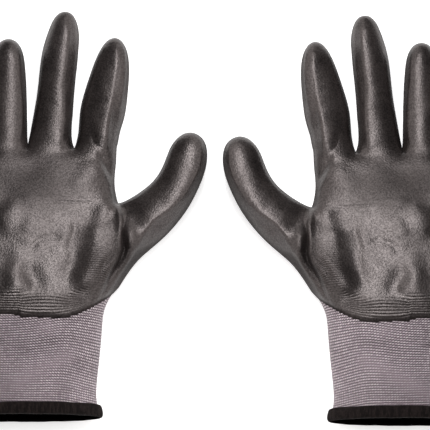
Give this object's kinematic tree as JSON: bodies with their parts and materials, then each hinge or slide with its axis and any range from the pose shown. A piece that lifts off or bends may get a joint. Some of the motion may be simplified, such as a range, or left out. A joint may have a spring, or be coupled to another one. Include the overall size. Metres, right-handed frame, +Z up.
{
  "type": "work gloves",
  "caption": "Pair of palm-coated knitted work gloves with stretch cuffs, lying palm up, folding at knuckles, middle joints, thumbs and wrists.",
  "frame": {"origin": "on the resting surface, under the middle of the pair", "axes": "+X from the right-hand glove to the left-hand glove, +Y towards the fingertips, +Z up out of the palms"},
  "size_m": [0.3292, 0.2475, 0.0399],
  "materials": {
    "knit": "grey-mauve fine seamless knit, matt",
    "coating": "charcoal foamed coating with a fine grain, half matt",
    "hem_thread": "black overlocked thread, matt",
    "elastic": "pale stretch yarn"
  },
  "bodies": {
    "right_hand": {"right_hand_liner": "knit", "right_palm_coating": "coating"},
    "right_cuff": {"right_knit_cuff": "knit", "right_hem_overlock": "hem_thread", "right_cuff_elastic": "elastic"},
    "right_little_lower": {"right_little_lower_liner": "knit", "right_little_lower_coating": "coating"},
    "right_little_tip": {"right_little_tip_liner": "knit", "right_little_tip_coating": "coating"},
    "right_ring_lower": {"right_ring_lower_liner": "knit", "right_ring_lower_coating": "coating"},
    "right_ring_tip": {"right_ring_tip_liner": "knit", "right_ring_tip_coating": "coating"},
    "right_middle_lower": {"right_middle_lower_liner": "knit", "right_middle_lower_coating": "coating"},
    "right_middle_tip": {"right_middle_tip_liner": "knit", "right_middle_tip_coating": "coating"},
    "right_index_lower": {"right_index_lower_liner": "knit", "right_index_lower_coating": "coating"},
    "right_index_tip": {"right_index_tip_liner": "knit", "right_index_tip_coating": "coating"},
    "right_thumb_lower": {"right_thumb_lower_liner": "knit", "right_thumb_lower_coating": "coating"},
    "right_thumb_tip": {"right_thumb_tip_liner": "knit", "right_thumb_tip_coating": "coating"},
    "left_hand": {"left_hand_liner": "knit", "left_palm_coating": "coating"},
    "left_cuff": {"left_knit_cuff": "knit", "left_hem_overlock": "hem_thread", "left_cuff_elastic": "elastic"},
    "left_little_lower": {"left_little_lower_liner": "knit", "left_little_lower_coating": "coating"},
    "left_little_tip": {"left_little_tip_liner": "knit", "left_little_tip_coating": "coating"},
    "left_ring_lower": {"left_ring_lower_liner": "knit", "left_ring_lower_coating": "coating"},
    "left_ring_tip": {"left_ring_tip_liner": "knit", "left_ring_tip_coating": "coating"},
    "left_middle_lower": {"left_middle_lower_liner": "knit", "left_middle_lower_coating": "coating"},
    "left_middle_tip": {"left_middle_tip_liner": "knit", "left_middle_tip_coating": "coating"},
    "left_index_lower": {"left_index_lower_liner": "knit", "left_index_lower_coating": "coating"},
    "left_index_tip": {"left_index_tip_liner": "knit", "left_index_tip_coating": "coating"},
    "left_thumb_lower": {"left_thumb_lower_liner": "knit", "left_thumb_lower_coating": "coating"},
    "left_thumb_tip": {"left_thumb_tip_liner": "knit", "left_thumb_tip_coating": "coating"}
  },
  "joints": [
    {"name": "right_little_knuckle", "type": "hinge", "parent": "right_hand", "child": "right_little_lower", "pos_m": [-0.15104, 0.04414, 0.0224], "axis": [0.9903, 0.1392, 0], "range_deg": [0, 85]},
    {"name": "right_little_middle", "type": "hinge", "parent": "right_little_lower", "child": "right_little_tip", "pos_m": [-0.15354, 0.06197, 0.022], "axis": [0.9903, 0.1392, 0], "range_deg": [0, 95]},
    {"name": "right_ring_knuckle", "type": "hinge", "parent": "right_hand", "child": "right_ring_lower", "pos_m": [-0.1248, 0.0492, 0.0237], "axis": [1, 0, 0], "range_deg": [0, 85]},
    {"name": "right_ring_middle", "type": "hinge", "parent": "right_ring_lower", "child": "right_ring_tip", "pos_m": [-0.1248, 0.0722, 0.0234], "axis": [1, 0, 0], "range_deg": [0, 95]},
    {"name": "right_middle_knuckle", "type": "hinge", "parent": "right_hand", "child": "right_middle_lower", "pos_m": [-0.09824, 0.04966, 0.0242], "axis": [0.994, -0.1097, 0], "range_deg": [0, 85]},
    {"name": "right_middle_middle", "type": "hinge", "parent": "right_middle_lower", "child": "right_middle_tip", "pos_m": [-0.0955, 0.07451, 0.0237], "axis": [0.994, -0.1097, 0], "range_deg": [0, 95]},
    {"name": "right_index_knuckle", "type": "hinge", "parent": "right_hand", "child": "right_index_lower", "pos_m": [-0.06936, 0.04961, 0.024], "axis": [0.9848, -0.1736, 0], "range_deg": [0, 85]},
    {"name": "right_index_middle", "type": "hinge", "parent": "right_index_lower", "child": "right_index_tip", "pos_m": [-0.06536, 0.07226, 0.0239], "axis": [0.9848, -0.1736, 0], "range_deg": [0, 95]},
    {"name": "right_thumb_base", "type": "hinge", "parent": "right_hand", "child": "right_thumb_lower", "pos_m": [-0.04888, 0.00256, 0.02993], "axis": [0.5795, -0.6436, 0.5], "range_deg": [0, 35]},
    {"name": "right_thumb_middle", "type": "hinge", "parent": "right_thumb_lower", "child": "right_thumb_tip", "pos_m": [-0.03135, 0.01813, 0.02886], "axis": [0.6916, -0.5212, 0.5], "range_deg": [0, 50]},
    {"name": "right_wrist", "type": "hinge", "parent": "right_hand", "child": "right_cuff", "pos_m": [-0.114, -0.06075, 0.0396], "axis": [-1, 0, 0], "range_deg": [0, 60]},
    {"name": "left_glove_apart", "type": "slide", "parent": "right_hand", "child": "left_hand", "axis": [1, 0, 0], "range_m": [0, 0.3]},
    {"name": "left_little_knuckle", "type": "hinge", "parent": "left_hand", "child": "left_little_lower", "pos_m": [0.15104, 0.04174, 0.0224], "axis": [0.9903, -0.1392, 0], "range_deg": [0, 85]},
    {"name": "left_little_middle", "type": "hinge", "parent": "left_little_lower", "child": "left_little_tip", "pos_m": [0.15354, 0.05957, 0.022], "axis": [0.9903, -0.1392, 0], "range_deg": [0, 95]},
    {"name": "left_ring_knuckle", "type": "hinge", "parent": "left_hand", "child": "left_ring_lower", "pos_m": [0.1248, 0.0468, 0.0237], "axis": [1, 0, 0], "range_deg": [0, 85]},
    {"name": "left_ring_middle", "type": "hinge", "parent": "left_ring_lower", "child": "left_ring_tip", "pos_m": [0.1248, 0.0698, 0.0234], "axis": [1, 0, 0], "range_deg": [0, 95]},
    {"name": "left_middle_knuckle", "type": "hinge", "parent": "left_hand", "child": "left_middle_lower", "pos_m": [0.09824, 0.04726, 0.0242], "axis": [0.994, 0.1097, 0], "range_deg": [0, 85]},
    {"name": "left_middle_middle", "type": "hinge", "parent": "left_middle_lower", "child": "left_middle_tip", "pos_m": [0.0955, 0.07211, 0.0237], "axis": [0.994, 0.1097, 0], "range_deg": [0, 95]},
    {"name": "left_index_knuckle", "type": "hinge", "parent": "left_hand", "child": "left_index_lower", "pos_m": [0.06936, 0.04721, 0.024], "axis": [0.9848, 0.1736, 0], "range_deg": [0, 85]},
    {"name": "left_index_middle", "type": "hinge", "parent": "left_index_lower", "child": "left_index_tip", "pos_m": [0.06536, 0.06986, 0.0239], "axis": [0.9848, 0.1736, 0], "range_deg": [0, 95]},
    {"name": "left_thumb_base", "type": "hinge", "parent": "left_hand", "child": "left_thumb_lower", "pos_m": [0.04888, 0.00016, 0.02993], "axis": [0.5795, 0.6436, -0.5], "range_deg": [0, 35]},
    {"name": "left_thumb_middle", "type": "hinge", "parent": "left_thumb_lower", "child": "left_thumb_tip", "pos_m": [0.03135, 0.01573, 0.02886], "axis": [0.6916, 0.5212, -0.5], "range_deg": [0, 50]},
    {"name": "left_wrist", "type": "hinge", "parent": "left_hand", "child": "left_cuff", "pos_m": [0.114, -0.06315, 0.0396], "axis": [-1, 0, 0], "range_deg": [0, 60]}
  ]
}
